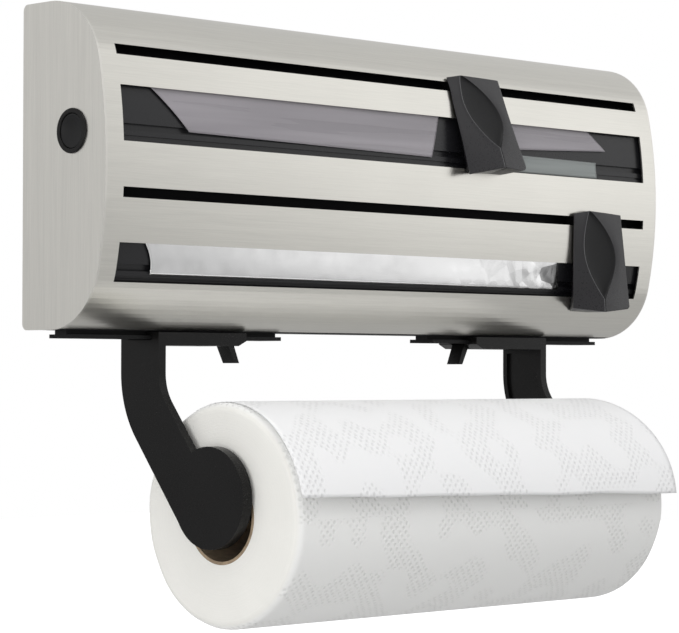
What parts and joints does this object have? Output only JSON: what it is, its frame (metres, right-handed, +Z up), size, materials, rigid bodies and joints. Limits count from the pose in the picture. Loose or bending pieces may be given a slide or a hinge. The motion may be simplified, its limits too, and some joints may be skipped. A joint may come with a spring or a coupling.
{
  "type": "wall dispenser for cling film, foil and paper roll",
  "caption": "Wall dispenser: curved steel cover with cutters sliding along windows for film and foil, and sliding arms under it that hold a paper roll.",
  "frame": {"origin": "on the wall face of the back plate, midway between the two wall screw holes", "axes": "+X to the right seen from the front, +Z up, the front faces -Y, the wall is y = 0"},
  "size_m": [0.3868, 0.1192, 0.2819],
  "materials": {
    "steel_sheet": "brushed along the front",
    "spring_steel": "satin",
    "blade_steel": "ground",
    "frame_black": "fine textured",
    "trim_black": "semi-gloss",
    "dark_grey": "satin",
    "grip_black": "gloss",
    "paper_white": "soft, embossed",
    "cardboard": "matte",
    "film_clear": "clear, wrinkled",
    "foil": "bright, crumpled"
  },
  "bodies": {
    "frame": {"back_plate": "frame_black", "cheek_left": "frame_black", "cheek_right": "frame_black", "trough_upper": "dark_grey", "trough_lower": "dark_grey", "base_plate": "frame_black", "rail_left": "frame_black", "rail_right": "frame_black", "rail_screws": "spring_steel", "frame_screws": "spring_steel", "latch_left": "spring_steel", "latch_right": "spring_steel"},
    "cover": {"front_cover": "steel_sheet", "end_plate_left": "steel_sheet", "end_plate_right": "steel_sheet", "hinge_studs": "spring_steel", "window_plate_upper": "dark_grey", "window_plate_lower": "dark_grey", "slot_guide_upper": "frame_black", "slot_guide_lower": "frame_black", "bezel_left": "trim_black", "bezel_right": "trim_black", "button_spring_left": "spring_steel", "button_spring_right": "spring_steel", "film_tail": "film_clear", "foil_tail": "foil"},
    "button_left": {"button_left": "trim_black"},
    "button_right": {"button_right": "trim_black"},
    "cutter_upper": {"cutter_upper_body": "dark_grey", "cutter_upper_grip": "grip_black", "cutter_upper_blade": "blade_steel", "cutter_upper_shoe": "trim_black"},
    "cutter_lower": {"cutter_lower_body": "dark_grey", "cutter_lower_grip": "grip_black", "cutter_lower_blade": "blade_steel", "cutter_lower_shoe": "trim_black"},
    "arm_left": {"arm_left": "trim_black", "hub_left": "dark_grey", "lever_pin_left": "spring_steel", "lever_spring_left": "spring_steel", "paper_tail": "paper_white"},
    "arm_right": {"arm_right": "trim_black", "hub_right": "dark_grey", "lever_pin_right": "spring_steel", "lever_spring_right": "spring_steel"},
    "lever_left": {"lever_left": "trim_black"},
    "lever_right": {"lever_right": "trim_black"},
    "paper": {"paper_roll": "paper_white", "paper_core": "cardboard"},
    "film": {"film_roll": "film_clear", "film_core": "cardboard"},
    "foil": {"foil_roll": "foil", "foil_core": "cardboard"}
  },
  "joints": [
    {"name": "cover_hinge", "type": "hinge", "parent": "frame", "child": "cover", "pos_m": [0, -0.0075, 0.0295], "axis": [-1, 0, 0], "range_deg": [0, 80]},
    {"name": "button_left_push", "type": "slide", "parent": "cover", "child": "button_left", "axis": [1, 0, 0], "range_m": [0, 0.003], "stiffness_N_per_m": 500, "springref_m": -0.003, "deforming": ["button_spring_left", "latch_left"]},
    {"name": "button_right_push", "type": "slide", "parent": "cover", "child": "button_right", "axis": [-1, 0, 0], "range_m": [0, 0.003], "stiffness_N_per_m": 500, "springref_m": -0.003, "deforming": ["button_spring_right", "latch_right"]},
    {"name": "cutter_upper_slide", "type": "slide", "parent": "cover", "child": "cutter_upper", "axis": [1, 0, 0], "range_m": [-0.217, 0.113], "deforming": ["film_tail"]},
    {"name": "cutter_lower_slide", "type": "slide", "parent": "cover", "child": "cutter_lower", "axis": [1, 0, 0], "range_m": [-0.306, 0.024], "deforming": ["foil_tail"]},
    {"name": "arm_left_slide", "type": "slide", "parent": "frame", "child": "arm_left", "axis": [-1, 0, 0], "range_m": [0, 0.046]},
    {"name": "arm_right_slide", "type": "slide", "parent": "frame", "child": "arm_right", "axis": [1, 0, 0], "range_m": [0, 0.046]},
    {"name": "lever_left_press", "type": "hinge", "parent": "arm_left", "child": "lever_left", "pos_m": [-0.0981, -0.0165, -0.1171], "axis": [0, 1, 0], "range_deg": [0, 6], "stiffness_Nm_per_rad": 0.5, "springref_deg": -5.73, "deforming": ["lever_spring_left"]},
    {"name": "lever_right_press", "type": "hinge", "parent": "arm_right", "child": "lever_right", "pos_m": [0.0981, -0.0165, -0.1171], "axis": [0, -1, 0], "range_deg": [0, 6], "stiffness_Nm_per_rad": 0.5, "springref_deg": -5.73, "deforming": ["lever_spring_right"]},
    {"name": "paper_spin", "type": "hinge", "parent": "arm_left", "child": "paper", "pos_m": [0, -0.06379, -0.19557], "axis": [1, 0, 0], "continuous": true},
    {"name": "film_spin", "type": "hinge", "parent": "frame", "child": "film", "pos_m": [-0.01, -0.026, -0.012], "axis": [1, 0, 0], "continuous": true},
    {"name": "foil_spin", "type": "hinge", "parent": "frame", "child": "foil", "pos_m": [-0.015, -0.026, -0.078], "axis": [1, 0, 0], "continuous": true}
  ]
}
